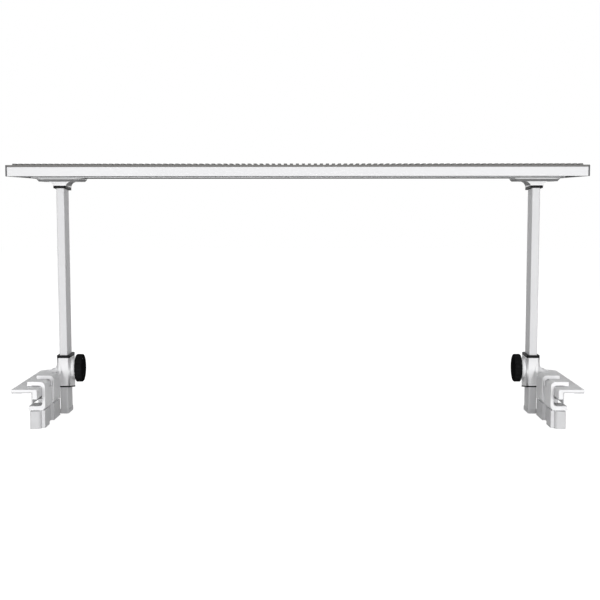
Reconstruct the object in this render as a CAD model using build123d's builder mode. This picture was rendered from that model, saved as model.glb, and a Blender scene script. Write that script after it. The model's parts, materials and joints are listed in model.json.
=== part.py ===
from build123d import *
import os
from math import floor

# LED aquarium light on two height-adjustable legs, each held in a clamp that hangs on the tank's end rim.
# All sizes are in millimetres. X runs along the light, -Y is the front and +Z is up. The origin is under
# the middle of the light, level with the bottom of the legs.

# ---------------------------------------------------------------- driving dimensions
# Light body
light_length = 580.0
light_width = 134.0
light_underside = 258.3        # height of the light's underside above the foot of the legs
fascia_height = 9.3
fascia_wall = 2.0
plate_thickness = 2.0
fin_height = 1.4
fin_width = 3.0
fin_pitch = 6.0
fin_end_margin = 6.4           # from the end of the plate to the middle of the first fin
fin_setback = 1.2              # from the plate's long edges to the foot of a fin
cap_thickness = 1.6

# Rails of the light body
lens_lip = 6.0                 # how far the ledge under the lens reaches in
lip_thickness = 1.2
plate_ledge = 8.0              # how far the ledge under the plate reaches in
port_size = 4.0                # square rib that takes an end cap screw
port_hole_depth = 12.0
end_screw_length = 10.0
end_tongue = 4.0               # how far an end cap reaches in under the lens
end_corner = 0.8
channel_depth = 49.0           # rear driver channel, from the back of the light to its divider
channel_floor = 2.0
divider_wall = 1.6

# Lens, LED board and LEDs
gasket_thickness = 0.6
lens_thickness = 2.0
thermal_pad_thickness = 0.5
board_thickness = 1.6
board_gap = 1.0
led_length = 3.5
led_width = 2.8
led_height = 1.2
led_column_pitch = 22.0
led_end_margin = 26.0          # from the end of the board to the first column
led_row_pitch = 13.0
board_screw_columns = (-9, -3, 3, 9)   # in LED columns from the middle
lens_clearance = 0.2
lens_chamfer = 0.4
gasket_width = 4.0             # at the ends of the lens

# Driver
driver_length = 220.0
driver_width = 29.0
driver_standoff = 1.5
driver_setback = 7.0           # from the divider to the driver board
driver_post_inset = 5.0        # from the ends of the driver board
driver_post_edge = 4.0         # from its long edges
driver_post_radius = 2.8
driver_screw_skin = 0.6        # floor left under the screws
component_height = 3.0
capacitor_places = (-85.0, -35.0, 45.0)
capacitor_size = (18.0, 16.0)
coil_places = (-60.0, -10.0, 20.0, 72.0)
coil_size = 14.0
coil_corner = 3.0
component_line = 18.0          # from the front edge of the driver board
ribbon_width = 12.0
ribbon_thickness = 0.4
ribbon_tail = 5.0              # how far the ribbon lies on each board
jack_width = 8.0
jack_height = 5.2
jack_bore = 2.1                # radius of the mouth for the power plug
jack_pin = 0.8
jack_fit = 0.1
jack_side_gap = 0.3
jack_back_wall = 2.0

# Legs
leg_inset = 32.0               # from the end of the light to the middle of a leg
leg_setback = 21.5             # from the back of the light to the middle of a leg
leg_width = 8.6                # along X
leg_depth = 24.0               # along Y
leg_wall = 1.2
leg_rear_wall = 2.2
leg_corner = 1.0
notch_pitch = 6.0
notch_height = 3.0
notch_depth = 0.8
foot_height = 5.0
foot_floor = 1.5
foot_wall = 0.6
foot_spigot = 7.0

# Brackets between the legs and the light
wing_length = 49.0
wing_width = 40.0
wing_thickness = 3.6
wing_bevel = 2.4
wing_corner = 6.0
stem_width = 13.6
stem_depth = 30.0
stem_height = 4.4              # below the wings, at the front
stem_flare = 6.0
stem_slant = 2.3               # how much lower the stem and its collar are at the back
collar_height = 2.6
socket_ceiling = 2.4
plug_length = 15.0
leg_screw_end = 2.0            # plug left beyond the end of its screw

# Clamps
seat_height = 39.9             # the tank's rim, above the foot of the legs
rim_depth = 134.0              # front to back
rim_overhang = 32.0            # from the middle of the leg to the outer edge of the rim rest
pad_thickness = 1.4
pad_land = 0.4                 # how far the seat stands proud of the rest of the pad
land_width = 10.2
flange_thickness = 2.6
flange_corner = 10.0
rim_leg_thickness = 4.6
rim_leg_drop = 6.0             # below the seat
pad_leg_thickness = 1.2
pad_leg_drop = 10.5
rim_travel = 9.0
slide_gap = 0.3
sleeve_wall_inner = 2.6
sleeve_wall_outer = 2.3
sleeve_wall_depth = 2.7
sleeve_rise = 22.2             # sleeve top above the seat
sleeve_drop_front = 8.5        # sleeve bottom below the seat
sleeve_drop_back = 13.0
sleeve_corner = 2.0
upper_collar_height = 3.0
lower_collar_height = 1.5
flare_radius = 10.5
rear_arm_thickness = 2.8
hook_offset = 1.0              # from the leg's outer face to the back of the hooks
hook_wall = 3.3
web_wall = 1.3
web_drop = 1.5                 # from the seat down to the top of the web between the hooks
hook_arm = 4.5
hook_top_reach = 15.2
hook_bottom_reach = 14.0
hook_bottom_drop = 21.0        # below the seat
hook_corner = 5.0
hook_inner_corner = 3.0
hook_land = 5.0                # length of the thicker tip of the top arm
hook_relief = 0.5
front_hook = (20.0, 40.0)      # from the near edge of the rim rest
middle_hook = (61.0, 84.0)
rear_rib = (84.0, 90.5)
rear_rib_rise = 4.0            # above the seat
gusset_rise = 9.0

# Apron under the hooks
apron_thickness = 11.0
apron_inset = 0.6              # from the back of the hooks to the apron's inner face
apron_height = 18.4
apron_length = 80.0
apron_setback = 15.0           # from the near edge of the rim rest
apron_corner = 5.0             # its near corner inside the tank
apron_outer_corner = 1.0
apron_seat = 4.0               # apron left over the heads of its screws
apron_screw_length = 7.0
apron_screw_hole = 3.5         # depth in the hook's lower arm
apron_rib_inset = 0.4          # the apron's ribs stop short of the hooks' inner face

# Locking screw and knob
knob_rise = 9.3                # knob axis above the seat
knob_radius = 15.4
knob_thickness = 7.8
knob_edge = 1.6
knob_flutes = 12
flute_radius = 2.4
boss_radius = 11.5
boss_length = 4.2
knob_gap = 0.5
screw_radius = 3.0
screw_fit = 0.05               # clearance on the radius of a screw
insert_radius = 4.6
insert_length = 3.4
shoe_radius = 5.0
shoe_thickness = 1.2
shoe_travel = 1.0
screw_nose_radius = 1.2
screw_nose_length = 0.6
knob_cap_radius = 8.0
knob_cap_thickness = 1.0
knob_floor = 1.6               # knob material left over the end of the screw

# Fasteners: shank radius, head radius, head height
m4 = (2.0, 3.9, 2.1)
m3 = (1.5, 2.8, 1.6)
m25 = (1.25, 2.25, 1.2)
hole_clearance = 0.15
nut_across_flats = 7.0
nut_height = 3.2
bracket_screw_x = 19.0
bracket_screw_y = 11.0

# ---------------------------------------------------------------- places worked out from the sizes
front = -light_width / 2
back = light_width / 2
plate_half = light_length / 2 - cap_thickness
fascia_top = light_underside + fascia_height
plate_top = fascia_top + plate_thickness
ledge_bottom = fascia_top - lip_thickness
lip_top = light_underside + lip_thickness
port_axis_z = ledge_bottom - port_size / 2
port_axis_y = back - fascia_wall - port_size / 2
divider = back - channel_depth
floor_top = light_underside + channel_floor
lens_bottom = lip_top + gasket_thickness
lens_front = front + fascia_wall + slide_gap
lens_back = divider - slide_gap
pad_bottom = fascia_top - thermal_pad_thickness
board_bottom = pad_bottom - board_thickness
board_front = front + plate_ledge + board_gap
board_back = divider - board_gap
board_half = plate_half - lens_lip
board_middle = (board_front + board_back) / 2
lens_half = plate_half - lens_clearance
lens_top = lens_bottom + lens_thickness
column_count = floor(2 * (board_half - led_end_margin) / led_column_pitch) + 1
columns = [(i - (column_count - 1) / 2) * led_column_pitch for i in range(column_count)]
odd_shift = 0.5 * (column_count % 2)
screw_columns = [led_column_pitch * (n + odd_shift - (n < -6) * (column_count % 2)) for n in board_screw_columns]
board_screw_rows = (board_middle - led_row_pitch, board_middle + led_row_pitch)
board_screw_depth = plate_thickness * 0.75
driver_x = (-driver_length / 2, driver_length / 2)
driver_y = (divider + driver_setback, divider + driver_setback + driver_width)
driver_post_x = driver_length / 2 - driver_post_inset
driver_post_y = (driver_y[0] + driver_post_edge, driver_y[1] - driver_post_edge)
driver_bottom = floor_top + driver_standoff
driver_top = driver_bottom + board_thickness
jack_z = floor_top + jack_height / 2

leg_x = light_length / 2 - leg_inset
leg_y = back - leg_setback
leg_inner = leg_x - leg_width / 2
leg_outer = leg_x + leg_width / 2
wing_bottom = light_underside - wing_thickness
stem_bottom = wing_bottom - stem_height
leg_top = light_underside - socket_ceiling

near_edge = leg_y + leg_setback - rim_depth
flange_bottom = seat_height + pad_thickness
flange_top = flange_bottom + flange_thickness
hook_ceiling = flange_top + slide_gap
hook_top = hook_ceiling + hook_arm
hook_bottom = seat_height - hook_bottom_drop
hook_floor = hook_bottom + hook_arm
hook_back = leg_outer + hook_offset
hook_inner = hook_back - hook_wall
rim_inner = hook_back + slide_gap
rim_leg_outer = rim_inner + rim_leg_thickness
rim_outer = leg_x + rim_overhang
sleeve_inner = leg_inner - slide_gap - sleeve_wall_inner
sleeve_outer = leg_outer + slide_gap + sleeve_wall_outer
sleeve_front = leg_y - leg_depth / 2 - slide_gap - sleeve_wall_depth
sleeve_back = leg_y + leg_depth / 2 + slide_gap + sleeve_wall_depth
sleeve_top = seat_height + sleeve_rise
sleeve_foot_front = seat_height - sleeve_drop_front
sleeve_foot_back = seat_height - sleeve_drop_back
rear_arm_top = hook_ceiling + rear_arm_thickness
knob_z = seat_height + knob_rise
boss_face = sleeve_inner - boss_length
knob_face = boss_face - knob_gap
knob_end = knob_face - knob_thickness
shoe_face = leg_inner - slide_gap
shoe_back = shoe_face - shoe_thickness
screw_shoulder = shoe_back - slide_gap
pocket_back = shoe_back - shoe_travel - slide_gap


# ---------------------------------------------------------------- shapes used many times
def area(u, v, mode=Mode.ADD):
    """A rectangle in the current sketch, given by its limits along the sketch's two axes."""
    with Locations(((u[0] + u[1]) / 2, (v[0] + v[1]) / 2)):
        Rectangle(u[1] - u[0], v[1] - v[0], mode=mode)


def block(x, y, z, mode=Mode.ADD):
    """A box in the current part, given by its limits along X, Y and Z."""
    with Locations(((x[0] + x[1]) / 2, (y[0] + y[1]) / 2, (z[0] + z[1]) / 2)):
        Box(x[1] - x[0], y[1] - y[0], z[1] - z[0], mode=mode)


def rod(start, direction, radius, length, mode=Mode.ADD):
    """A round bar in the current part, from its start point along a direction."""
    with BuildSketch(Plane(origin=start, z_dir=direction)) as end:
        Circle(radius)
    extrude(end.sketch, amount=length, mode=mode)


def along_x(points, x, mode=Mode.ADD):
    """A prism along X in the current part, from a polygon of (Y, Z) points."""
    with BuildSketch(Plane.YZ.offset(x[0])) as outline:
        with BuildLine():
            Polyline(*points, close=True)
        make_face()
    extrude(outline.sketch, amount=x[1] - x[0], mode=mode)


def countersunk(start, direction, size, length, grow=0, mode=Mode.ADD):
    """A countersunk screw or its hole: the flat head lies at the start point."""
    shank, head, height = size
    with Locations(Plane(origin=start, z_dir=direction)):
        Cone(head + grow, shank + grow, height, align=(Align.CENTER, Align.CENTER, Align.MIN), mode=mode)
        Cylinder(shank + grow, length, align=(Align.CENTER, Align.CENTER, Align.MIN), mode=mode)


def hex_socket(start, direction, size):
    """The hexagonal key recess in a screw head."""
    shank, _, height = size
    with BuildSketch(Plane(origin=start, z_dir=direction)) as key:
        RegularPolygon(shank * 0.75, 6)
    extrude(key.sketch, amount=height * 0.7, mode=Mode.SUBTRACT)


def pan_screw(seat, direction, size, length):
    """A pan-head screw whose head sits on the seat point; the shank runs along the direction."""
    shank, head, height = size
    outward = tuple(-n for n in direction)
    rod(seat, outward, head, height)
    rod(seat, direction, shank, length)
    top = tuple(p + n * height for p, n in zip(seat, outward))
    hex_socket(top, direction, size)


def save(part, name):
    part.label = name
    export_step(part, f"parts/{name}.step")


def save_pair(part, name):
    """Write the right-hand piece, and its mirror image for the left end."""
    save(part, f"right_{name}")
    with BuildPart() as left:
        add(part)
        mirror(about=Plane.YZ, mode=Mode.REPLACE)
    save(left.part, f"left_{name}")


os.makedirs("parts", exist_ok=True)

# ---------------------------------------------------------------- light body: heat sink and rails
fin_span = 2 * (plate_half - fin_end_margin)
fin_count = floor(fin_span / fin_pitch) + 1
fin_front = front + fin_setback
fin_back = back - fin_setback

with BuildPart() as heat_sink:
    block((-plate_half, plate_half), (front, back), (fascia_top, plate_top))
    with BuildSketch(Plane.YZ) as fin_profile:
        with BuildLine():
            Polyline(
                (fin_front, plate_top), (fin_back, plate_top), (fin_back - fin_height, plate_top + fin_height),
                (fin_front + fin_height, plate_top + fin_height), close=True,
            )
        make_face()
    with BuildPart(mode=Mode.PRIVATE) as fin:
        extrude(fin_profile.sketch, amount=fin_width / 2, both=True)
    with GridLocations(fin_pitch, 1, fin_count, 1):
        add(fin.part)
    for x in screw_columns:
        for y in board_screw_rows:
            rod((x, y, fascia_top), (0, 0, 1), m3[0], board_screw_depth, Mode.SUBTRACT)

with BuildPart() as front_rail:
    with BuildSketch(Plane.YZ.offset(-plate_half)):
        area((front, front + fascia_wall), (light_underside, fascia_top))
        area((front, front + lens_lip), (light_underside, lip_top))
        area((front, front + plate_ledge), (ledge_bottom, fascia_top))
        area((front, front + fascia_wall + port_size), (ledge_bottom - port_size, fascia_top))
    extrude(amount=2 * plate_half)
    for side in (-1, 1):
        rod((side * plate_half, -port_axis_y, port_axis_z), (-side, 0, 0), m25[0], port_hole_depth, Mode.SUBTRACT)

with BuildPart() as rear_channel:
    with BuildSketch(Plane.YZ.offset(-plate_half)):
        area((back - fascia_wall, back), (light_underside, fascia_top))
        area((divider, back), (light_underside, floor_top))
        area((divider - lens_lip, divider), (light_underside, lip_top))
        area((divider, divider + divider_wall), (light_underside, fascia_top))
        area((divider, divider + plate_ledge), (ledge_bottom, fascia_top))
        area((back - plate_ledge, back), (ledge_bottom, fascia_top))
        area((back - fascia_wall - port_size, back), (ledge_bottom - port_size, fascia_top))
    extrude(amount=2 * plate_half)
    for side in (-1, 1):
        rod((side * plate_half, port_axis_y, port_axis_z), (-side, 0, 0), m25[0], port_hole_depth, Mode.SUBTRACT)
        for y in driver_post_y:
            rod((side * driver_post_x, y, floor_top), (0, 0, 1), driver_post_radius, driver_standoff)
            start = (side * driver_post_x, y, light_underside + driver_screw_skin)
            rod(start, (0, 0, 1), m25[0], channel_floor + driver_standoff, Mode.SUBTRACT)
        with Locations((side * leg_x, leg_y, floor_top)):
            with GridLocations(2 * bracket_screw_x, 2 * bracket_screw_y, 2, 2):
                Hole(m4[0] + hole_clearance, depth=channel_floor)
    rod((0, back - fascia_wall - port_size, jack_z), (0, 1, 0), jack_height / 2 + jack_fit,
        fascia_wall + port_size, Mode.SUBTRACT)
    block(
        (-jack_width / 2 - jack_side_gap, jack_width / 2 + jack_side_gap), (back - fascia_wall - port_size, back - fascia_wall),
        (floor_top, ledge_bottom), Mode.SUBTRACT,
    )
    block(
        (-ribbon_width / 2 - slide_gap, ribbon_width / 2 + slide_gap), (divider, divider + divider_wall),
        (driver_top, board_bottom), Mode.SUBTRACT,
    )

# ---------------------------------------------------------------- light body: ends
with BuildPart() as end_cap:
    block((plate_half, light_length / 2), (front, back), (light_underside, plate_top))
    fillet(end_cap.edges().filter_by(Axis.X), end_corner)
    block((plate_half - end_tongue, plate_half), (front + lens_lip, divider - lens_lip), (light_underside, lip_top))
    for y in (-port_axis_y, port_axis_y):
        countersunk((light_length / 2, y, port_axis_z), (-1, 0, 0), m25, cap_thickness, screw_fit, Mode.SUBTRACT)

with BuildPart() as end_cap_screws:
    for side in (-1, 1):
        for y in (-port_axis_y, port_axis_y):
            start = (side * light_length / 2, y, port_axis_z)
            countersunk(start, (-side, 0, 0), m25, end_screw_length)
            hex_socket(start, (-side, 0, 0), m25)

# ---------------------------------------------------------------- light body: lens, board and LEDs
with BuildPart() as lens_gasket:
    block((-lens_half, lens_half), (lens_front, lens_back), (lip_top, lens_bottom))
    block(
        (gasket_width - plate_half, plate_half - gasket_width), (front + lens_lip, divider - lens_lip), (lip_top, lens_bottom),
        Mode.SUBTRACT,
    )

with BuildPart() as lens_cover:
    block((-lens_half, lens_half), (lens_front, lens_back), (lens_bottom, lens_top))
    chamfer(lens_cover.edges().group_by(Axis.Z)[-1], lens_chamfer)

with BuildPart() as led_board:
    block((-board_half, board_half), (board_front, board_back), (board_bottom, pad_bottom))
    for x in screw_columns:
        for y in board_screw_rows:
            rod((x, y, board_bottom), (0, 0, 1), m3[0], board_thickness, Mode.SUBTRACT)

with BuildPart() as thermal_pad:
    block((-board_half, board_half), (board_front, board_back), (pad_bottom, fascia_top))
    for x in screw_columns:
        for y in board_screw_rows:
            rod((x, y, pad_bottom), (0, 0, 1), m3[0], thermal_pad_thickness, Mode.SUBTRACT)

screw_depth = board_thickness + thermal_pad_thickness + board_screw_depth
with BuildPart() as board_screws:
    for x in screw_columns:
        for y in board_screw_rows:
            pan_screw((x, y, board_bottom), (0, 0, 1), m3, screw_depth)


def leds(name, columns, rows):
    """A group of LED packages under the board, one solid each."""
    with BuildPart() as group:
        for x in columns:
            for y in rows:
                block(
                    (x - led_length / 2, x + led_length / 2), (y - led_width / 2, y + led_width / 2),
                    (board_bottom - led_height, board_bottom),
                )
    save(group.part, name)


white_rows = [board_middle + n * led_row_pitch for n in (-2, 0, 2)]
colour_rows = [board_middle - led_row_pitch, board_middle + led_row_pitch]
leds("white_leds", columns, white_rows)
leds("red_leds", columns[0::3], colour_rows)
leds("green_leds", columns[1::3], colour_rows)
leds("blue_leds", columns[2::3], colour_rows)

# ---------------------------------------------------------------- light body: driver
with BuildPart() as driver_board:
    block(driver_x, driver_y, (driver_bottom, driver_top))
    for side in (-1, 1):
        for y in driver_post_y:
            rod((side * driver_post_x, y, driver_bottom), (0, 0, 1), m25[0], board_thickness, Mode.SUBTRACT)

with BuildPart() as driver_screws:
    for side in (-1, 1):
        for y in driver_post_y:
            pan_screw((side * driver_post_x, y, driver_top), (0, 0, -1), m25, driver_standoff + board_thickness)

component_y = driver_y[0] + component_line
with BuildPart() as driver_components:
    for x in capacitor_places:
        block(
            (x - capacitor_size[0] / 2, x + capacitor_size[0] / 2),
            (component_y - capacitor_size[1] / 2, component_y + capacitor_size[1] / 2),
            (driver_top, driver_top + component_height),
        )
    for x in coil_places:
        with BuildSketch(Plane.XY.offset(driver_top)) as coil:
            with Locations((x, component_y)):
                RectangleRounded(coil_size, coil_size, coil_corner)
        extrude(coil.sketch, amount=component_height)

jack_y = (driver_y[1], back - fascia_wall)
jack_bore_depth = back - jack_y[0] - jack_back_wall
with BuildPart() as dc_jack:
    jack_z_limits = (jack_z - jack_height / 2, jack_z + jack_height / 2)
    block((-jack_width / 2, jack_width / 2), jack_y, jack_z_limits)
    rod((0, back - fascia_wall, jack_z), (0, 1, 0), jack_height / 2, fascia_wall)
    rod((0, back, jack_z), (0, -1, 0), jack_bore, jack_bore_depth, Mode.SUBTRACT)
    rod((0, jack_y[0], jack_z), (0, 1, 0), jack_pin, jack_bore_depth)

ribbon_start = driver_y[0] + ribbon_tail
ribbon_end = board_back - ribbon_tail
ribbon_foot = divider + divider_wall + slide_gap
with BuildPart() as led_ribbon:
    ribbon_x = (-ribbon_width / 2, ribbon_width / 2)
    along_x(
        [
            (ribbon_start, driver_top), (ribbon_start, driver_top + ribbon_thickness),
            (ribbon_foot + ribbon_thickness, driver_top + ribbon_thickness),
            (divider - ribbon_thickness, board_bottom), (ribbon_end, board_bottom),
            (ribbon_end, board_bottom - ribbon_thickness),
            (divider - 1.5 * ribbon_thickness, board_bottom - ribbon_thickness), (ribbon_foot, driver_top),
        ],
        ribbon_x,
    )

# ---------------------------------------------------------------- bracket nuts
with BuildPart() as bracket_nuts:
    for side in (-1, 1):
        with BuildSketch(Plane.XY.offset(floor_top)) as nuts:
            with Locations((side * leg_x, leg_y)):
                with GridLocations(2 * bracket_screw_x, 2 * bracket_screw_y, 2, 2):
                    RegularPolygon(nut_across_flats / 2, 6, major_radius=False)
                    Circle(m4[0], mode=Mode.SUBTRACT)
        extrude(nuts.sketch, amount=nut_height)

for piece, name in (
    (heat_sink, "heat_sink"), (front_rail, "front_rail"), (rear_channel, "rear_channel"),
    (end_cap_screws, "end_cap_screws"), (lens_gasket, "lens_gasket"), (lens_cover, "lens_cover"),
    (led_board, "led_board"), (thermal_pad, "thermal_pad"), (board_screws, "board_screws"),
    (driver_board, "driver_board"), (driver_screws, "driver_screws"), (dc_jack, "dc_jack"),
    (driver_components, "driver_components"), (led_ribbon, "led_ribbon"), (bracket_nuts, "bracket_nuts"),
):
    save(piece.part, name)
save_pair(end_cap.part, "end_cap")

# ---------------------------------------------------------------- right leg
leg_hollow_y = (leg_y - leg_depth / 2 + leg_wall, leg_y + leg_depth / 2 - leg_rear_wall)
leg_hollow_x = (leg_inner + leg_wall, leg_outer - leg_wall)
rack_bottom = sleeve_top + notch_pitch
rack_top = stem_bottom - 3 * notch_pitch
notch_count = floor((rack_top - rack_bottom) / notch_pitch)

with BuildPart() as leg:
    with BuildSketch(Plane.XY.offset(foot_floor)):
        with Locations((leg_x, leg_y)):
            RectangleRounded(leg_width, leg_depth, leg_corner)
        area(leg_hollow_x, leg_hollow_y, Mode.SUBTRACT)
    extrude(amount=leg_top - foot_floor)
    for n in range(notch_count):
        z = rack_top - n * notch_pitch
        leg_back = leg_y + leg_depth / 2
        along_x(
            [
                (leg_back - notch_depth, z - notch_height / 2 + notch_depth), (leg_back, z - notch_height / 2),
                (leg_back, z + notch_height / 2), (leg_back - notch_depth, z + notch_height / 2 - notch_depth),
            ],
            (leg_inner, leg_outer), Mode.SUBTRACT,
        )

with BuildPart() as foot_cap:
    with BuildSketch():
        with Locations((leg_x, leg_y)):
            RectangleRounded(leg_width + 2 * foot_wall, leg_depth + 2 * foot_wall, leg_corner + foot_wall)
    extrude(amount=foot_height)
    fillet(foot_cap.edges().group_by(Axis.Z)[0], 0.6)
    with BuildSketch(Plane.XY.offset(foot_floor)):
        with Locations((leg_x, leg_y)):
            RectangleRounded(leg_width, leg_depth, leg_corner)
    extrude(amount=foot_height, mode=Mode.SUBTRACT)
    block(leg_hollow_x, leg_hollow_y, (foot_floor, foot_floor + foot_spigot))

with BuildPart() as leg_plug:
    block(leg_hollow_x, leg_hollow_y, (leg_top - plug_length, leg_top))
    rod((leg_x, leg_y, leg_top), (0, 0, -1), m4[0], plug_length, Mode.SUBTRACT)

with BuildPart() as leg_screw:
    countersunk((leg_x, leg_y, light_underside), (0, 0, -1), m4, socket_ceiling + plug_length - leg_screw_end)
    hex_socket((leg_x, leg_y, light_underside), (0, 0, -1), m4)

# ---------------------------------------------------------------- right bracket
stem_front_y = leg_y - stem_depth / 2
stem_back_y = leg_y + stem_depth / 2


def slanted(height, y):
    """Height of the stem's slanted lower face at a place along Y, below a height at its front."""
    return height - stem_slant * (y - stem_front_y) / stem_depth


with BuildPart() as bracket:
    with BuildSketch(Plane.XY.offset(light_underside)):
        with Locations((leg_x, leg_y)):
            RectangleRounded(wing_length, wing_width, wing_corner)
    extrude(amount=-wing_thickness)
    chamfer(bracket.faces().sort_by(Axis.Z)[0].edges(), wing_bevel)
    with BuildSketch(Plane.XZ.offset(-stem_back_y)) as stem_profile:
        reach = stem_width / 2 + stem_flare
        lowest = stem_bottom - stem_slant - 1
        area((leg_x - reach, leg_x + reach), (lowest, wing_bottom))
        for side in (-1, 1):
            with Locations((leg_x + side * reach, wing_bottom - stem_flare)):
                Circle(stem_flare, mode=Mode.SUBTRACT)
        for low, high in ((leg_x - reach, leg_x - stem_width / 2), (leg_x + stem_width / 2, leg_x + reach)):
            area((low, high), (lowest - stem_flare, wing_bottom - stem_flare), Mode.SUBTRACT)
    extrude(stem_profile.sketch, amount=stem_depth)
    along_x(
        [
            (stem_front_y - 1, slanted(stem_bottom, stem_front_y - 1)),
            (stem_back_y + 1, slanted(stem_bottom, stem_back_y + 1)),
            (stem_back_y + 1, stem_bottom - 9), (stem_front_y - 1, stem_bottom - 9),
        ],
        (leg_x - reach - 1, leg_x + reach + 1), Mode.SUBTRACT,
    )
    with BuildSketch(Plane.XY.offset(leg_top)) as socket:
        with Locations((leg_x, leg_y)):
            RectangleRounded(leg_width, leg_depth, leg_corner)
    extrude(socket.sketch, amount=-30, mode=Mode.SUBTRACT)
    countersunk((leg_x, leg_y, light_underside), (0, 0, -1), m4, socket_ceiling, screw_fit, Mode.SUBTRACT)
    for sx in (-1, 1):
        for sy in (-1, 1):
            start = (leg_x + sx * bracket_screw_x, leg_y + sy * bracket_screw_y, wing_bottom)
            countersunk(start, (0, 0, 1), m4, wing_thickness, screw_fit, Mode.SUBTRACT)

with BuildPart() as bracket_screws:
    for sx in (-1, 1):
        for sy in (-1, 1):
            start = (leg_x + sx * bracket_screw_x, leg_y + sy * bracket_screw_y, wing_bottom)
            countersunk(start, (0, 0, 1), m4, wing_thickness + channel_floor + nut_height)
            hex_socket(start, (0, 0, 1), m4)

with BuildPart() as bracket_collar:
    along_x(
        [
            (stem_front_y, stem_bottom), (stem_back_y, slanted(stem_bottom, stem_back_y)),
            (stem_back_y, slanted(stem_bottom, stem_back_y) - collar_height),
            (stem_front_y, stem_bottom - collar_height),
        ],
        (leg_x - stem_width / 2, leg_x + stem_width / 2),
    )
    fillet(bracket_collar.edges().filter_by(Axis.Z), 1.0)
    extrude(socket.sketch, amount=-40, mode=Mode.SUBTRACT)

for piece, name in (
    (leg, "leg"), (foot_cap, "foot_cap"), (leg_plug, "leg_plug"), (leg_screw, "leg_screw"),
    (bracket, "bracket"), (bracket_screws, "bracket_screws"), (bracket_collar, "bracket_collar"),
):
    save_pair(piece.part, name)

# ---------------------------------------------------------------- right clamp body
leg_passage_x = (leg_inner - slide_gap, leg_outer + slide_gap)
leg_passage_y = (leg_y - leg_depth / 2 - slide_gap, leg_y + leg_depth / 2 + slide_gap)
hook_ranges = [(near_edge + y0, near_edge + y1) for y0, y1 in (front_hook, middle_hook)]
rib_range = (near_edge + rear_rib[0], near_edge + rear_rib[1])
rib_top = seat_height + rear_rib_rise
web_top = seat_height - web_drop
apron_top = hook_bottom
apron_inner = hook_back + apron_inset
apron_outer = apron_inner + apron_thickness
apron_front = near_edge + apron_setback
apron_screw_x = (apron_inner + apron_outer) / 2


def hook(y):
    """One C-shaped hook around the rim rest, open towards the tank's wall."""
    with BuildSketch(Plane.XZ.offset(-y[1])) as shape:
        area((hook_inner, hook_back + hook_bottom_reach), (hook_bottom, hook_top))
        inner_corners = shape.vertices().group_by(Axis.X)[0]
        fillet(inner_corners, hook_corner)
        area((hook_back + hook_bottom_reach, hook_back + hook_top_reach), (hook_ceiling, hook_top))
        with BuildSketch(mode=Mode.PRIVATE) as throat:
            area((hook_back, hook_back + 2 * hook_top_reach), (hook_floor, hook_ceiling + hook_relief))
            fillet(throat.vertices().group_by(Axis.X)[0], hook_inner_corner)
        add(throat.sketch, mode=Mode.SUBTRACT)
        tip = hook_back + hook_top_reach
        area((tip - hook_land, tip), (hook_ceiling, hook_ceiling + hook_relief))
    extrude(shape.sketch, amount=y[1] - y[0])


with BuildPart() as clamp_body:
    along_x(
        [
            (sleeve_front, sleeve_foot_front), (sleeve_back, sleeve_foot_back),
            (sleeve_back, sleeve_top), (sleeve_front, sleeve_top),
        ],
        (sleeve_inner, sleeve_outer),
    )
    fillet(clamp_body.edges().filter_by(Axis.Z), sleeve_corner)
    for y in hook_ranges:
        hook(y)
    block((hook_back - web_wall, hook_back), (hook_ranges[0][0], sleeve_front), (hook_bottom, web_top))
    block((hook_inner, hook_back), rib_range, (hook_bottom, rib_top))
    along_x(
        [
            (rib_range[0], rib_top), (sleeve_front + sleeve_corner, seat_height + gusset_rise),
            (sleeve_front + sleeve_corner, sleeve_foot_front + 1), (rib_range[0], sleeve_foot_front + 1),
        ],
        (hook_inner, hook_back),
    )
    with BuildSketch(Plane.XZ.offset(-(sleeve_back - sleeve_corner))) as flare:
        area((sleeve_outer - 1, sleeve_outer + flare_radius), (hook_ceiling, rear_arm_top + flare_radius))
        with Locations((sleeve_outer + flare_radius, rear_arm_top + flare_radius)):
            Circle(flare_radius, mode=Mode.SUBTRACT)
    extrude(flare.sketch, amount=sleeve_back - sleeve_front - 2 * sleeve_corner)
    rod((sleeve_inner + 1, leg_y, knob_z), (-1, 0, 0), boss_radius, boss_length + 1)
    block(leg_passage_x, leg_passage_y, (0, 2 * sleeve_top), Mode.SUBTRACT)
    rod((boss_face, leg_y, knob_z), (1, 0, 0), insert_radius, insert_length, Mode.SUBTRACT)
    rod((boss_face, leg_y, knob_z), (1, 0, 0), screw_radius + 0.4, leg_inner - boss_face, Mode.SUBTRACT)
    rod((leg_passage_x[0] + 0.1, leg_y, knob_z), (-1, 0, 0), shoe_radius + slide_gap,
        leg_passage_x[0] + 0.1 - pocket_back, Mode.SUBTRACT)
    for y in hook_ranges:
        middle = (y[0] + y[1]) / 2
        rod((apron_screw_x, middle, hook_bottom), (0, 0, 1), m25[0], apron_screw_hole, Mode.SUBTRACT)

# ---------------------------------------------------------------- right collars around the leg
with BuildPart() as upper_collar:
    with BuildSketch(Plane.XY.offset(sleeve_top)):
        area((sleeve_inner, sleeve_outer), (sleeve_front, sleeve_back))
        fillet(vertices(), sleeve_corner)
        area(leg_passage_x, leg_passage_y, Mode.SUBTRACT)
    extrude(amount=upper_collar_height)

with BuildPart() as lower_collar:
    along_x(
        [
            (sleeve_front, sleeve_foot_front), (sleeve_back, sleeve_foot_back),
            (sleeve_back, sleeve_foot_back - lower_collar_height),
            (sleeve_front, sleeve_foot_front - lower_collar_height),
        ],
        (sleeve_inner, sleeve_outer),
    )
    fillet(lower_collar.edges().filter_by(Axis.Z), lower_collar_height)
    block(leg_passage_x, leg_passage_y, (0, sleeve_top), Mode.SUBTRACT)

# ---------------------------------------------------------------- right apron
apron_bottom = hook_bottom - apron_height
counterbore_depth = apron_height - apron_seat

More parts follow.
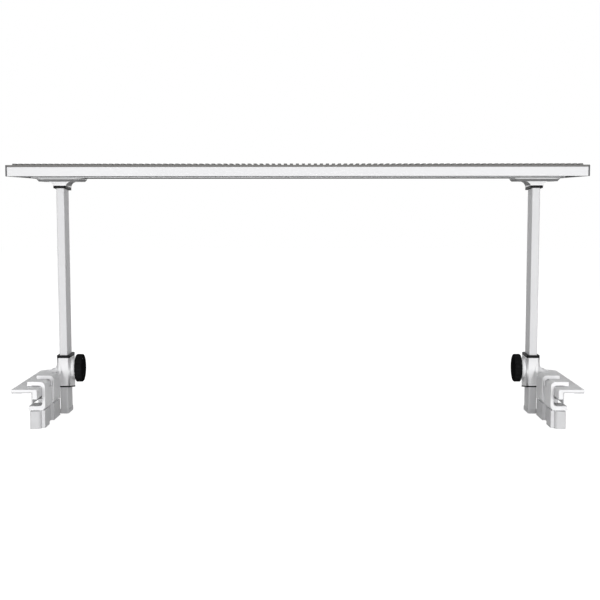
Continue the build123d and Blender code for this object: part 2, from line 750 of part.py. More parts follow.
with BuildPart() as apron:
    with BuildSketch(Plane.XY.offset(apron_bottom)):
        area((apron_inner, apron_outer), (apron_front, apron_front + apron_length))
        fillet(vertices().group_by(Axis.Y)[0].sort_by(Axis.X)[0], apron_corner)
        fillet(vertices().group_by(Axis.Y)[0].sort_by(Axis.X)[-1], apron_outer_corner)
    extrude(amount=apron_height)
    for y in (*hook_ranges, rib_range):
        block((hook_inner + apron_rib_inset, apron_inner), y, (apron_bottom, apron_top))
    for y in hook_ranges:
        middle = (y[0] + y[1]) / 2
        start = (apron_screw_x, middle, apron_bottom)
        rod(start, (0, 0, 1), m25[0] + hole_clearance, apron_height, Mode.SUBTRACT)
        rod(start, (0, 0, 1), m25[1] + hole_clearance, counterbore_depth, Mode.SUBTRACT)

with BuildPart() as apron_screws:
    for y in hook_ranges:
        middle = (y[0] + y[1]) / 2
        pan_screw((apron_screw_x, middle, apron_bottom + counterbore_depth), (0, 0, 1), m25, apron_screw_length)

# ---------------------------------------------------------------- right rim rest and its pad
notch_x = (rim_inner - 5, sleeve_outer + slide_gap)
notch_y = (sleeve_front - slide_gap, sleeve_back + slide_gap)
rim_y = (near_edge, near_edge + rim_depth)
land_x = (rim_outer - land_width - 0.5, rim_outer - 0.5)
pad_top = flange_bottom

with BuildPart() as rim_rest:
    with BuildSketch(Plane.XZ.offset(-rim_y[1])):
        area((rim_inner, rim_outer), (flange_bottom, flange_top))
        area((rim_inner, rim_leg_outer), (seat_height - rim_leg_drop, flange_top))
    extrude(amount=rim_depth)
    fillet(rim_rest.edges().filter_by(Axis.Y).group_by(Axis.X)[0].sort_by(Axis.Z)[-1], 2)
    outer_rear = rim_rest.edges().filter_by(Axis.Z).group_by(Axis.X)[-1].sort_by(Axis.Y)[-1]
    fillet(outer_rear, flange_corner)
    block(notch_x, notch_y, (0, sleeve_top), Mode.SUBTRACT)

with BuildPart() as rim_pad:
    with BuildSketch(Plane.XZ.offset(-(rim_y[1] - flange_corner))):
        area((rim_leg_outer, rim_outer - 0.5), (seat_height + pad_land, pad_top))
        area((rim_leg_outer, rim_leg_outer + pad_leg_thickness), (seat_height - pad_leg_drop, pad_top))
        area(land_x, (seat_height, pad_top))
    extrude(amount=rim_depth - flange_corner - 0.5)

# ---------------------------------------------------------------- right locking screw and knob
with BuildPart() as thread_insert:
    rod((boss_face, leg_y, knob_z), (1, 0, 0), insert_radius, insert_length)
    rod((boss_face, leg_y, knob_z), (1, 0, 0), screw_radius + screw_fit, insert_length, Mode.SUBTRACT)

with BuildPart() as pressure_shoe:
    rod((shoe_back, leg_y, knob_z), (1, 0, 0), shoe_radius, shoe_thickness)
    chamfer(pressure_shoe.edges(), 0.3)
    rod((shoe_back, leg_y, knob_z), (1, 0, 0), screw_nose_radius + screw_fit,
        screw_nose_length, Mode.SUBTRACT)

screw_head = knob_end + knob_cap_thickness + knob_floor

with BuildPart() as clamp_screw:
    rod((screw_head, leg_y, knob_z), (1, 0, 0), screw_radius, screw_shoulder - screw_head)
    rod((screw_shoulder, leg_y, knob_z), (1, 0, 0), screw_nose_radius, screw_nose_length)

with BuildPart() as knob:
    with BuildSketch(Plane(origin=(knob_face, leg_y, knob_z), x_dir=(0, 1, 0), z_dir=(-1, 0, 0))):
        Circle(knob_radius)
        with PolarLocations(knob_radius + 0.5 * flute_radius, knob_flutes):
            Circle(flute_radius, mode=Mode.SUBTRACT)
    extrude(amount=knob_thickness)
    with BuildSketch(Plane(origin=(0, leg_y, knob_z), x_dir=(1, 0, 0), z_dir=(0, 0, 1))) as crown:
        with BuildLine():
            Polyline(
                (knob_face, 0), (knob_face, knob_radius - knob_edge / 2),
                (knob_face - knob_edge / 2, knob_radius), (knob_end + knob_edge, knob_radius),
            )
            arc_end = (knob_end, knob_radius - knob_edge)
            RadiusArc((knob_end + knob_edge, knob_radius), arc_end, -knob_edge)
            Polyline(arc_end, (knob_end, 0), (knob_face, 0))
        make_face()
    revolve(crown.sketch, axis=Axis((0, leg_y, knob_z), (1, 0, 0)), mode=Mode.INTERSECT)
    rod((knob_end, leg_y, knob_z), (1, 0, 0), knob_cap_radius, knob_cap_thickness, Mode.SUBTRACT)
    rod((screw_head, leg_y, knob_z), (1, 0, 0), screw_radius, knob_face - screw_head, Mode.SUBTRACT)

with BuildPart() as knob_cap:
    rod((knob_end, leg_y, knob_z), (1, 0, 0), knob_cap_radius, knob_cap_thickness)
    chamfer(knob_cap.edges().group_by(Axis.X)[0], 0.3)

for piece, name in (
    (clamp_body, "clamp_body"), (upper_collar, "upper_collar"), (lower_collar, "lower_collar"),
    (apron, "apron"), (apron_screws, "apron_screws"), (rim_rest, "rim_rest"), (rim_pad, "rim_pad"),
    (thread_insert, "thread_insert"), (pressure_shoe, "pressure_shoe"), (clamp_screw, "clamp_screw"),
    (knob, "knob"), (knob_cap, "knob_cap"),
):
    save_pair(piece.part, name)
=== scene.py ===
import json
from math import cos, pi, radians, sin

import bmesh
import bpy
from mathutils import Matrix, Vector

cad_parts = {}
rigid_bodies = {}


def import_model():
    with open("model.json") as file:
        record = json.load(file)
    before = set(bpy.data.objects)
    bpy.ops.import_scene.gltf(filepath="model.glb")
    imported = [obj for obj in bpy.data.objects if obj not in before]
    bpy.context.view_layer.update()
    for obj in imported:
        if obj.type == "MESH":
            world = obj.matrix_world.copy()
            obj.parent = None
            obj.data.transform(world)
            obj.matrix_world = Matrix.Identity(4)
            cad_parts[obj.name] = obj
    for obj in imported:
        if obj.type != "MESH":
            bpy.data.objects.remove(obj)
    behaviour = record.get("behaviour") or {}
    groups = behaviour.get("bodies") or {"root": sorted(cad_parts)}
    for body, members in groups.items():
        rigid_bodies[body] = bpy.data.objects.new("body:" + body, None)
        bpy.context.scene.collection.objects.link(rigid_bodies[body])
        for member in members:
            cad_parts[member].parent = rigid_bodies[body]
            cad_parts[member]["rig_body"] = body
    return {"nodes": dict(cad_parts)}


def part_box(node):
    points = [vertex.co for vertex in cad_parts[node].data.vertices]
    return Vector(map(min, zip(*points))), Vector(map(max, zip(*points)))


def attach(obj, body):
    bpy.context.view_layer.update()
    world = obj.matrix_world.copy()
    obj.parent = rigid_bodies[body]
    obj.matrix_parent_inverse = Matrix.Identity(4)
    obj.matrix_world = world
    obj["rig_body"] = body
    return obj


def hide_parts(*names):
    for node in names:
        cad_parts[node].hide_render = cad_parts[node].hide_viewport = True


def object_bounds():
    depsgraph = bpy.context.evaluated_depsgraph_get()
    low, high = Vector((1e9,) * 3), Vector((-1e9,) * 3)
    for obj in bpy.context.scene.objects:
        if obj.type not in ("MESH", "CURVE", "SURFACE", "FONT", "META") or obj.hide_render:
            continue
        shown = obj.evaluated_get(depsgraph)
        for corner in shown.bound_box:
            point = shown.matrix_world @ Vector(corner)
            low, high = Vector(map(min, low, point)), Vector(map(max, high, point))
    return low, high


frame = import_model()
cad_box = [list(corner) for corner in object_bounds()]

MM = 0.001
SIDES = ("left", "right")

# Lengths in millimetres.
WELD = 0.002                    # corners closer than this are one
CASTING_RADIUS = 0.45
PASSAGE_MARGIN = 1.0            # around the leg, where the casting's edges stay sharp
GUSSET_MARGIN = 3.0             # before and behind the front of the sleeve
PACKAGE_RADIUS = 0.12           # of an LED's package
DOME_STEP = 0.02                # from an LED's package down to its dome

FLAT_ANGLE = 0.5                # degrees, under which faces count as one flat face
# Faces whose normal is lower than DOWNWARD take the underside finish, which paints shade on them.
DOWNWARD = -0.3                 # a face whose normal is lower than this faces down
BEVEL_ROOM = 2.3                # how many bevels fit across a face
PACKAGE_RIM = 0.3               # share of an LED's height that is dome
DOME_SHARE = 0.42               # a dome's radius, as a share of the package's width
DOME_SIDES = 16
DOME_STEPS = 5

# The camera: millimetres, degrees, and a place in metres.
FOCAL_LENGTH = 66.35
SENSOR_WIDTH = 36.0
CAMERA_YAW = 0.232
CAMERA_DOWN = 5.233
CAMERA_ROLL = -0.04
CAMERA_PLACE = (0.0070, -1.1705, 0.2361)


# ---------------------------------------------------------------- material building blocks
class Finish:
    """A material with one Principled shader, and short calls for the textures that drive it."""

    def __init__(self, name, colour, roughness, metallic=0.0, **sockets):
        self.material = bpy.data.materials.new(name)
        self.material.use_nodes = True
        self.material.diffuse_color = (*colour, 1)
        self.nodes = self.material.node_tree.nodes
        self.links = self.material.node_tree.links
        self.shader = self.nodes["Principled BSDF"]
        self.coordinates = self.nodes.new("ShaderNodeTexCoord").outputs["Object"]
        self.set("Base Color", (*colour, 1))
        self.set("Roughness", roughness)
        self.set("Metallic", metallic)
        for socket, value in sockets.items():
            self.set(socket.replace("_", " "), value)

    def set(self, socket, value):
        self.shader.inputs[socket].default_value = value

    def node(self, kind, **properties):
        made = self.nodes.new(kind)
        for name, value in properties.items():
            setattr(made, name, value)
        return made

    def stretched(self, stretch):
        """Object coordinates, stretched along an axis where its number is small."""
        mapping = self.node("ShaderNodeMapping")
        mapping.inputs["Scale"].default_value = stretch
        self.links.new(self.coordinates, mapping.inputs["Vector"])
        return mapping.outputs["Vector"]

    def noise(self, size, stretch=(1, 1, 1), detail=2.0):
        """Noise whose lumps are about size metres across."""
        noise = self.node("ShaderNodeTexNoise")
        noise.inputs["Scale"].default_value = 1 / size
        noise.inputs["Detail"].default_value = detail
        self.links.new(self.stretched(stretch), noise.inputs["Vector"])
        return noise.outputs["Fac"]

    def ramp(self, factor, low, high):
        """A number that goes from low to high as the middle half of the factor's range is crossed."""
        spread = self.node("ShaderNodeMapRange")
        spread.inputs["From Min"].default_value = 0.25
        spread.inputs["From Max"].default_value = 0.75
        spread.inputs["To Min"].default_value = low
        spread.inputs["To Max"].default_value = high
        self.links.new(factor, spread.inputs["Value"])
        return spread.outputs["Result"]

    def blend(self, factor, dark, light):
        """A colour between two others."""
        mix = self.node("ShaderNodeMix", data_type="RGBA")
        mix.inputs["A"].default_value = (*dark, 1)
        mix.inputs["B"].default_value = (*light, 1)
        self.links.new(factor, mix.inputs["Factor"])
        return mix.outputs["Result"]

    def over(self, factor, below, colour):
        """A colour laid over a linked one."""
        mix = self.node("ShaderNodeMix", data_type="RGBA")
        mix.inputs["B"].default_value = (*colour, 1)
        self.links.new(factor, mix.inputs["Factor"])
        self.links.new(below, mix.inputs["A"])
        return mix.outputs["Result"]

    def edges(self, low=0.52, high=0.62):
        """1 on outward edges and 0 elsewhere."""
        sharpness = self.node("ShaderNodeNewGeometry").outputs["Pointiness"]
        spread = self.node("ShaderNodeMapRange")
        spread.inputs["From Min"].default_value = low
        spread.inputs["From Max"].default_value = high
        self.links.new(sharpness, spread.inputs["Value"])
        return spread.outputs["Result"]

    def add_up(self, first, second):
        plus = self.node("ShaderNodeMath", operation="ADD")
        self.links.new(first, plus.inputs[0])
        self.links.new(second, plus.inputs[1])
        return plus.outputs["Value"]

    def scaled(self, value, by):
        times = self.node("ShaderNodeMath", operation="MULTIPLY")
        times.inputs[1].default_value = by
        self.links.new(value, times.inputs[0])
        return times.outputs["Value"]

    def relief(self, height, depth):
        """Bump, where a height of 1 stands depth metres proud."""
        bump = self.node("ShaderNodeBump")
        bump.inputs["Distance"].default_value = depth
        bump.inputs["Strength"].default_value = 1.0
        self.links.new(height, bump.inputs["Height"])
        self.links.new(bump.outputs["Normal"], self.shader.inputs["Normal"])

    def drive(self, socket, value):
        self.links.new(value, self.shader.inputs[socket])


def shade(colour, factor):
    return tuple(min(1.0, c * factor) for c in colour)


def extruded_aluminium(name, colour, along, metallic=0.05, roughness=0.5):
    """Satin anodised extrusion with faint die lines along its length."""
    finish = Finish(name, colour, roughness, metallic, Specular_IOR_Level=0.1)
    stretch = tuple(0.01 if axis == along else 1 for axis in "XYZ")
    lines = finish.noise(0.5 * MM, stretch)
    clouds = finish.noise(40 * MM)
    tone = finish.add_up(finish.scaled(lines, 0.7), finish.scaled(clouds, 0.3))
    lighter = shade(colour, 1.03)
    finish.drive("Base Color", finish.blend(finish.ramp(tone, 0, 1), shade(colour, 0.95), lighter))
    finish.drive("Roughness", finish.ramp(lines, roughness - 0.05, roughness + 0.06))
    finish.relief(lines, 0.006 * MM)
    return finish.material


def satin_paint(name, colour, roughness=0.38):
    """Sprayed paint with a faint orange peel, worn a little thinner on its edges."""
    finish = Finish(name, colour, roughness, Specular_IOR_Level=0.15)
    peel = finish.noise(0.8 * MM, detail=1.0)
    clouds = finish.noise(25 * MM)
    body = finish.blend(finish.ramp(clouds, 0, 1), shade(colour, 0.96), shade(colour, 1.02))
    finish.drive("Base Color", finish.over(finish.scaled(finish.edges(), 0.35), body, shade(colour, 1.1)))
    finish.drive("Roughness", finish.ramp(peel, roughness - 0.04, roughness + 0.06))
    finish.relief(peel, 0.012 * MM)
    return finish.material


def moulded_plastic(name, colour, roughness=0.45, specular=0.4, grain=0.35 * MM, worn=1.25):
    """Injection-moulded plastic with a fine spark-eroded grain and polished edges."""
    finish = Finish(name, colour, roughness, Specular_IOR_Level=specular)
    skin = finish.noise(grain, detail=3.0)
    clouds = finish.noise(15 * MM)
    body = finish.blend(finish.ramp(clouds, 0, 1), shade(colour, 0.94), shade(colour, 1.06))
    finish.drive("Base Color", finish.over(finish.scaled(finish.edges(), 0.4), body, shade(colour, worn)))
    finish.drive("Roughness", finish.ramp(skin, roughness - 0.08, roughness + 0.08))
    finish.relief(skin, 0.015 * MM)
    return finish.material


def soft_rubber(name, colour):
    """Matt rubber with a dusty, uneven skin."""
    finish = Finish(name, colour, 0.8, Specular_IOR_Level=0.25)
    skin = finish.noise(0.6 * MM, detail=4.0)
    dust = finish.noise(12 * MM, detail=3.0)
    lighter = shade(colour, 1.08)
    finish.drive("Base Color", finish.blend(finish.ramp(dust, 0, 1), shade(colour, 0.92), lighter))
    finish.drive("Roughness", finish.ramp(skin, 0.72, 0.9))
    finish.relief(skin, 0.03 * MM)
    return finish.material


def clear_acrylic(name):
    """Clear lens sheet with a fine prismatic rib along its length."""
    colour = (0.93, 0.95, 0.96)
    finish = Finish(name, colour, 0.12, Transmission_Weight=0.9, IOR=1.49)
    wave = finish.node("ShaderNodeTexWave", bands_direction="Y")
    wave.inputs["Scale"].default_value = 1 / (12 * MM)
    finish.links.new(finish.coordinates, wave.inputs["Vector"])
    haze = finish.noise(4 * MM)
    finish.drive("Base Color", finish.blend(finish.ramp(haze, 0, 1), shade(colour, 0.97), colour))
    finish.drive("Roughness", finish.ramp(haze, 0.08, 0.2))
    finish.relief(wave.outputs["Fac"], 0.05 * MM)
    return finish.material


def printed_board(name, mask, track):
    """Solder mask with copper tracks that show through it as a lighter tone."""
    finish = Finish(name, mask, 0.35)
    cells = finish.node("ShaderNodeTexVoronoi", feature="DISTANCE_TO_EDGE")
    cells.inputs["Scale"].default_value = 1 / (9 * MM)
    cells.inputs["Randomness"].default_value = 0.35
    finish.links.new(finish.coordinates, cells.inputs["Vector"])
    edge = finish.node("ShaderNodeMath", operation="LESS_THAN")
    edge.inputs[1].default_value = 0.07
    finish.links.new(cells.outputs["Distance"], edge.inputs[0])
    finish.drive("Base Color", finish.blend(edge.outputs["Value"], mask, track))
    weave = finish.noise(0.5 * MM)
    finish.drive("Roughness", finish.ramp(weave, 0.3, 0.45))
    finish.relief(edge.outputs["Value"], 0.03 * MM)
    return finish.material


def moulded_dome(name, colour, glow):
    """Silicone or epoxy dome over an LED chip, cloudy in patches."""
    finish = Finish(name, colour, 0.2, Subsurface_Weight=0.2)
    cloud = finish.noise(0.7 * MM)
    finish.drive("Base Color", finish.blend(finish.ramp(cloud, 0, 1), colour, glow))
    finish.drive("Roughness", finish.ramp(cloud, 0.12, 0.3))
    return finish.material


def turned_metal(name, colour, roughness=0.3):
    """Plated or turned metal with fine tool marks."""
    finish = Finish(name, colour, roughness, 0.9)
    marks = finish.noise(0.3 * MM, (0.05, 1, 1))
    stain = finish.noise(3 * MM, detail=3.0)
    lighter = shade(colour, 1.08)
    finish.drive("Base Color", finish.blend(finish.ramp(stain, 0, 1), shade(colour, 0.85), lighter))
    finish.drive("Roughness", finish.ramp(marks, roughness - 0.08, roughness + 0.12))
    finish.relief(marks, 0.01 * MM)
    return finish.material


# ---------------------------------------------------------------- the object's finishes
SILVER = (0.69, 0.69, 0.7)
PAINT = (0.84, 0.84, 0.85)
FINISHES = {
    "rail_silver": extruded_aluminium("rail_silver", SILVER, "X"),
    "leg_silver": extruded_aluminium("leg_silver", SILVER, "Z"),
    # Painted shade: the heat sink uses the rails' aluminium finish, painted dark grey for the shade its fins
    # lie in.
    "fin_grey": extruded_aluminium("fin_grey", (0.17, 0.166, 0.162), "Y", 0.05, 0.55),
    "bracket_silver": satin_paint("bracket_silver", (0.93, 0.93, 0.94)),
    # Painted shade: a near-black finish laid on the downward faces of the silver rails, for the shade under
    # the light.
    "underside_grey": moulded_plastic("underside_grey", (0.08, 0.08, 0.082), 0.8, 0.0, worn=1.1),
    # Painted shade: a darker grey laid on the bracket's downward faces, for the shade under its wings.
    "bracket_grey": moulded_plastic("bracket_grey", (0.26, 0.26, 0.264), 0.6, 0.1, worn=1.2),
    "end_grey": moulded_plastic("end_grey", (0.11, 0.11, 0.115), 0.5, 0.15),
    "clamp_paint": satin_paint("clamp_paint", PAINT),
    "apron_plastic": moulded_plastic("apron_plastic", (0.64, 0.64, 0.65), 0.5, 0.12, worn=1.06),
    "black_plastic": moulded_plastic("black_plastic", (0.006, 0.006, 0.0065), 0.38, 0.03, worn=1.6),
    "knob_black": moulded_plastic("knob_black", (0.011, 0.011, 0.0115), 0.5, 0.0, worn=1.8),
    "collar_black": moulded_plastic("collar_black", (0.009, 0.009, 0.0095), 0.5, 0.05, worn=1.4),
    "pad_rubber": soft_rubber("pad_rubber", (0.6, 0.6, 0.61)),
    "gasket_rubber": soft_rubber("gasket_rubber", (0.08, 0.08, 0.082)),
    "lens_acrylic": clear_acrylic("lens_acrylic"),
    "white_board": printed_board("white_board", (0.82, 0.82, 0.8), (0.74, 0.74, 0.71)),
    "green_board": printed_board("green_board", (0.02, 0.16, 0.06), (0.05, 0.28, 0.12)),
    "led_package": moulded_plastic("led_package", (0.85, 0.85, 0.83), 0.35, grain=0.1 * MM, worn=1.05),
    "white_dome": moulded_dome("white_dome", (0.9, 0.72, 0.16), (0.95, 0.82, 0.34)),
    "red_dome": moulded_dome("red_dome", (0.6, 0.05, 0.04), (0.8, 0.2, 0.15)),
    "green_dome": moulded_dome("green_dome", (0.05, 0.4, 0.1), (0.2, 0.62, 0.25)),
    "blue_dome": moulded_dome("blue_dome", (0.04, 0.1, 0.55), (0.15, 0.3, 0.8)),
    "component_black": moulded_plastic("component_black", (0.03, 0.03, 0.032), 0.35),
    "plated_steel": turned_metal("plated_steel", (0.55, 0.55, 0.56)),
    "turned_brass": turned_metal("turned_brass", (0.6, 0.42, 0.15)),
}

# Node, its finish, the record's slot, the radius of its edges in millimetres, and a darker finish painted as
# shade on what faces down.
BODY_PIECES = (
    ("heat_sink", "fin_grey", "heat_sink", 0.2),
    ("front_rail", "rail_silver", "silver_aluminium", 0.35, "underside_grey"),
    ("rear_channel", "rail_silver", "silver_aluminium", 0.35, "underside_grey"),
    ("end_cap_screws", "plated_steel", "steel", 0.1),
    ("lens_gasket", "gasket_rubber", "grey_rubber", 0.1),
    ("lens_cover", "lens_acrylic", "clear_lens", 0.15),
    ("led_board", "white_board", "board_white", 0.1),
    ("thermal_pad", "pad_rubber", "grey_rubber", 0.05),
    ("board_screws", "plated_steel", "steel", 0.1),
    ("driver_board", "green_board", "circuit_board", 0.1),
    ("driver_screws", "plated_steel", "steel", 0.1),
    ("driver_components", "component_black", "black_plastic", 0.3),
    ("dc_jack", "black_plastic", "black_plastic", 0.15),
    ("led_ribbon", "gasket_rubber", "grey_rubber", 0.05),
    ("bracket_nuts", "plated_steel", "steel", 0.2),
)
SIDE_PIECES = (
    ("end_cap", "end_grey", "dark_cap", 0.25),
    ("leg", "leg_silver", "silver_aluminium", 0.15),
    ("foot_cap", "apron_plastic", "apron_grey", 0.3),
    ("leg_plug", "component_black", "black_plastic", 0.05),
    ("leg_screw", "plated_steel", "steel", 0.1),
    ("bracket", "bracket_silver", "clamp_grey", 0.12, "bracket_grey"),
    ("bracket_screws", "plated_steel", "steel", 0.1),
    ("bracket_collar", "collar_black", "black_plastic", 0.3),
    ("upper_collar", "collar_black", "black_plastic", 0.3),
    ("lower_collar", "collar_black", "black_plastic", 0.08),
    ("thread_insert", "turned_brass", "brass", 0.15),
    ("apron", "apron_plastic", "apron_grey", 0.4),
    ("apron_screws", "plated_steel", "steel", 0.1),
    ("rim_rest", "clamp_paint", "clamp_grey", 0.5),
    ("rim_pad", "pad_rubber", "grey_rubber", 0.2),
    ("pressure_shoe", "collar_black", "black_plastic", 0.1),
    ("knob", "knob_black", "black_plastic", 0.12),
    ("knob_cap", "knob_black", "black_plastic", 0.2),
    ("clamp_screw", "plated_steel", "steel", 0.1),
)


# ---------------------------------------------------------------- pieces
def solid_mesh(node):
    """A CAD node's surface with its split corners joined and its flat faces whole again."""
    shape = bmesh.new()
    shape.from_mesh(frame["nodes"][node].data)
    bmesh.ops.remove_doubles(shape, verts=shape.verts, dist=WELD * MM)
    bmesh.ops.dissolve_limit(shape, angle_limit=radians(FLAT_ANGLE), verts=shape.verts, edges=shape.edges)
    bmesh.ops.recalc_face_normals(shape, faces=shape.faces)
    return shape


def room_beside(edge):
    """How far the faces beside an edge reach across it, and twice the length of edges that leave its ends."""
    middle = (edge.verts[0].co + edge.verts[1].co) / 2
    along = (edge.verts[1].co - edge.verts[0].co).normalized()
    least = 1.0
    for loop in edge.link_loops:
        inward = loop.face.normal.cross(loop.link_loop_next.vert.co - loop.vert.co).normalized()
        for other in loop.face.edges:
            a, b = (v.co - middle for v in other.verts)
            if a.dot(along) * b.dot(along) < 0:
                share = a.dot(along) / (a - b).dot(along)
                reach = a.lerp(b, share).dot(inward)
                if reach > 0.001 * MM:
                    least = min(least, reach)
    for vertex in edge.verts:
        for other in vertex.link_edges:
            way = (other.other_vert(vertex).co - vertex.co).normalized()
            if abs(way.dot(along)) < 0.86:
                least = min(least, 2 * other.calc_length())
    return least


def round_off(shape, radius, least_angle=40, sharp=()):
    """Marks how far each sharp edge is rounded: by the radius, or less where its faces are narrow.

    Edges whose index is in sharp are left as they are.
    """
    widest = radius * MM
    weights = shape.edges.layers.float.new("bevel_weight_edge")
    shape.edges.index_update()
    for edge in shape.edges:
        if edge.index in sharp or len(edge.link_faces) != 2:
            continue
        if edge.calc_face_angle(0) > radians(least_angle):
            edge[weights] = min(widest, room_beside(edge) / BEVEL_ROOM) / widest
    return widest


def shade_round(piece, width):
    """Rounds the marked edges, and shades flat faces flat and rounded ones round."""
    bevel = piece.modifiers.new("rounded_edges", "BEVEL")
    bevel.width = width
    bevel.segments = 3
    bevel.limit_method = "WEIGHT"
    bevel.use_clamp_overlap = False
    normals = piece.modifiers.new("flat_faces", "WEIGHTED_NORMAL")
    normals.keep_sharp = True


def new_piece(name, shape, finishes, node):
    """An object made from a bmesh, which stands for a CAD node and rides on its body."""
    mesh = bpy.data.meshes.new(name)
    shape.to_mesh(mesh)
    shape.free()
    mesh.shade_smooth()
    piece = bpy.data.objects.new(name, mesh)
    bpy.context.scene.collection.objects.link(piece)
    for finish in finishes:
        mesh.materials.append(FINISHES[finish])
    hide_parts(node)
    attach(piece, frame["nodes"][node]["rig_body"])
    return piece


def finished(node, finish, slot, radius, below=None):
    """A CAD node's shape with rounded edges and its finish, and on what faces down a darker finish painted as
    shade, where one is given.
    """
    shape = solid_mesh(node)
    width = round_off(shape, radius)
    # Painted shade: faces that point down get the darker second finish, for the shade under the piece.
    if below:
        for face in shape.faces:
            face.material_index = int(face.normal.z < DOWNWARD)
    finishes = (finish, below) if below else (finish,)
    piece = new_piece(f"{node}_finished", shape, finishes, node)
    shade_round(piece, width)


def islands(node):
    """The lowest and highest corner of each separate solid of a node."""
    shape = solid_mesh(node)
    waiting = set(shape.verts)
    found = []
    while waiting:
        group = {waiting.pop()}
        edge = list(group)
        while edge:
            vertex = edge.pop()
            near = {e.other_vert(vertex) for e in vertex.link_edges} - group
            group |= near
            edge.extend(near)
        waiting -= group
        low = Vector([min(v.co[i] for v in group) for i in range(3)])
        high = Vector([max(v.co[i] for v in group) for i in range(3)])
        found.append((low, high))
    shape.free()
    return sorted(found, key=lambda corners: tuple(corners[0]))


def ring(shape, centre, radius, height, count):
    """A level ring of vertices."""
    turns = [2 * pi * i / count for i in range(count)]
    return [shape.verts.new(centre + Vector((radius * cos(t), radius * sin(t), height))) for t in turns]


def bridge(shape, below, above, material):
    """Faces between two rings of the same number of vertices."""
    count = len(below)
    for i in range(count):
        face = shape.faces.new((below[i], below[(i + 1) % count], above[(i + 1) % count], above[i]))
        face.material_index = material


def led_group(node, dome):
    """Surface-mounted LEDs, each a white package with a dome that faces down."""
    shape = bmesh.new()
    for low, high in islands(node):
        height = high.z - low.z
        rim = low.z + PACKAGE_RIM * height
        box = bmesh.ops.create_cube(shape, size=1)["verts"]
        size = Vector((high.x - low.x, high.y - low.y, high.z - rim))
        place = Vector(((low.x + high.x) / 2, (low.y + high.y) / 2, (high.z + rim) / 2))
        for vertex in box:
            vertex.co = Vector(a * b for a, b in zip(vertex.co, size)) + place
        centre = Vector((place.x, place.y, rim))
        widest = DOME_SHARE * min(size.x, size.y)
        outer = ring(shape, centre, widest, DOME_STEP * MM, DOME_SIDES)
        for step in range(1, DOME_STEPS):
            turn = pi / 2 * step / DOME_STEPS
            inner = ring(shape, centre, widest * cos(turn), -PACKAGE_RIM * height * sin(turn), DOME_SIDES)
            bridge(shape, inner, outer, 1)
            outer = inner
        cap = shape.faces.new(list(reversed(outer)))
        cap.material_index = 1
    bmesh.ops.recalc_face_normals(shape, faces=shape.faces)
    width = round_off(shape, PACKAGE_RADIUS)
    piece = new_piece(f"{node}_finished", shape, ("led_package", dome), node)
    shade_round(piece, width)


def clamp(side):
    """The clamp's casting, with sharp edges in the leg's passage and where the gusset meets the sleeve."""
    node = f"{side}_clamp_body"
    leg_low, leg_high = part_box(f"{side}_leg")
    sleeve_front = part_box(f"{side}_upper_collar")[0].y
    margin = PASSAGE_MARGIN * MM
    shape = solid_mesh(node)
    shape.edges.index_update()
    sharp = set()
    for edge in shape.edges:
        ends = [v.co for v in edge.verts]
        in_passage = all(
            leg_low.x - margin < p.x < leg_high.x + margin and leg_low.y - margin < p.y < leg_high.y + margin
            for p in ends
        )
        at_gusset = all(abs(p.y - sleeve_front) < GUSSET_MARGIN * MM for p in ends)
        if in_passage or at_gusset:
            sharp.add(edge.index)
    width = round_off(shape, CASTING_RADIUS, sharp=sharp)
    piece = new_piece(f"{node}_finished", shape, ("clamp_paint",), node)
    shade_round(piece, width)


for row in BODY_PIECES:
    finished(*row)
for side in SIDES:
    for node, *rest in SIDE_PIECES:
        finished(f"{side}_{node}", *rest)
    clamp(side)
for colour in ("white", "red", "green", "blue"):
    led_group(f"{colour}_leds", f"{colour}_dome")


# ---------------------------------------------------------------- stage, light and camera
def seen_rays(nodes, links):
    """1 for the rays that show the background: straight, mirrored and through glass."""
    path = nodes.new("ShaderNodeLightPath")
    total = path.outputs["Is Camera Ray"]
    for name in ("Is Glossy Ray", "Is Transmission Ray"):
        most = nodes.new("ShaderNodeMath")
        most.operation = "MAXIMUM"
        links.new(total, most.inputs[0])
        links.new(path.outputs[name], most.inputs[1])
        total = most.outputs["Value"]
    return total


def white_world(ambient):
    """A world that is white to look at and lights the object at a lower, even level."""
    world = bpy.data.worlds.new("studio")
    bpy.context.scene.world = world
    world.use_nodes = True
    nodes, links = world.node_tree.nodes, world.node_tree.links
    level = nodes.new("ShaderNodeMapRange")
    level.inputs["To Min"].default_value = ambient
    level.inputs["To Max"].default_value = 1.0
    links.new(seen_rays(nodes, links), level.inputs["Value"])
    nodes["Background"].inputs["Color"].default_value = (1, 1, 1, 1)
    links.new(level.outputs["Result"], nodes["Background"].inputs["Strength"])


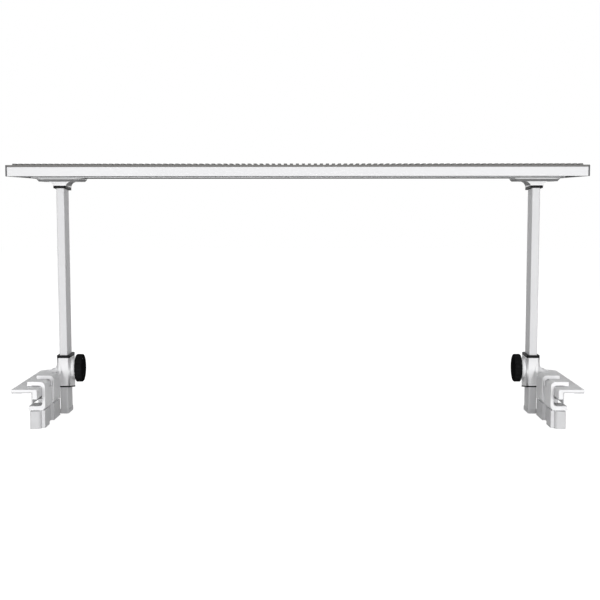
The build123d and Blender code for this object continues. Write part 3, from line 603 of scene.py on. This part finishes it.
def white_floor(half_size, tone, lift):
    """A pale floor under the feet, which keeps the object's soft shadow."""
    shape = bmesh.new()
    bmesh.ops.create_grid(shape, x_segments=1, y_segments=1, size=half_size)
    mesh = bpy.data.meshes.new("floor")
    shape.to_mesh(mesh)
    shape.free()
    floor = bpy.data.objects.new("floor", mesh)
    bpy.context.scene.collection.objects.link(floor)
    material = bpy.data.materials.new("floor")
    material.use_nodes = True
    nodes, links = material.node_tree.nodes, material.node_tree.links
    nodes.remove(nodes["Principled BSDF"])
    matt = nodes.new("ShaderNodeBsdfDiffuse")
    matt.inputs["Color"].default_value = (tone, tone, tone, 1)
    glow = nodes.new("ShaderNodeEmission")
    strength = nodes.new("ShaderNodeMath")
    strength.operation = "MULTIPLY"
    strength.inputs[1].default_value = lift
    links.new(seen_rays(nodes, links), strength.inputs[0])
    links.new(strength.outputs["Value"], glow.inputs["Strength"])
    both = nodes.new("ShaderNodeAddShader")
    links.new(matt.outputs["BSDF"], both.inputs[0])
    links.new(glow.outputs["Emission"], both.inputs[1])
    links.new(both.outputs["Shader"], nodes["Material Output"].inputs["Surface"])
    mesh.materials.append(material)


def softbox(name, place, aim, size, power):
    """A square area light that faces a point."""
    lamp = bpy.data.lights.new(name, "AREA")
    lamp.size = size
    lamp.energy = power
    holder = bpy.data.objects.new(name, lamp)
    holder.location = place
    holder.rotation_euler = (Vector(aim) - Vector(place)).to_track_quat("-Z", "Y").to_euler()
    bpy.context.scene.collection.objects.link(holder)


def camera():
    """The camera at the photograph's viewing angle, a little above the middle and level with the light."""
    lens = bpy.data.cameras.new("camera")
    lens.sensor_width = SENSOR_WIDTH
    lens.lens = FOCAL_LENGTH
    holder = bpy.data.objects.new("camera", lens)
    turn = Matrix.Rotation(radians(CAMERA_YAW), 4, "Z")
    tilt = Matrix.Rotation(radians(90 - CAMERA_DOWN), 4, "X")
    roll = Matrix.Rotation(radians(CAMERA_ROLL), 4, "Z")
    holder.matrix_world = Matrix.Translation(CAMERA_PLACE) @ turn @ tilt @ roll
    bpy.context.scene.collection.objects.link(holder)
    bpy.context.scene.camera = holder


middle = (Vector(cad_box[0]) + Vector(cad_box[1])) / 2
white_world(0.15)
white_floor(4.0, 0.35, 0.95)
softbox("key_left", (-0.48, -1.2, 0.19), middle, 0.36, 8.0)
softbox("key_right", (0.48, -1.2, 0.19), middle, 0.36, 8.0)
softbox("overhead", (0.0, 0.1, 1.5), middle, 1.2, 8.0)
softbox("rear_fill", (0.0, 1.6, 0.6), middle, 1.0, 3.0)
camera()
bpy.context.scene.view_settings.view_transform = "Standard"
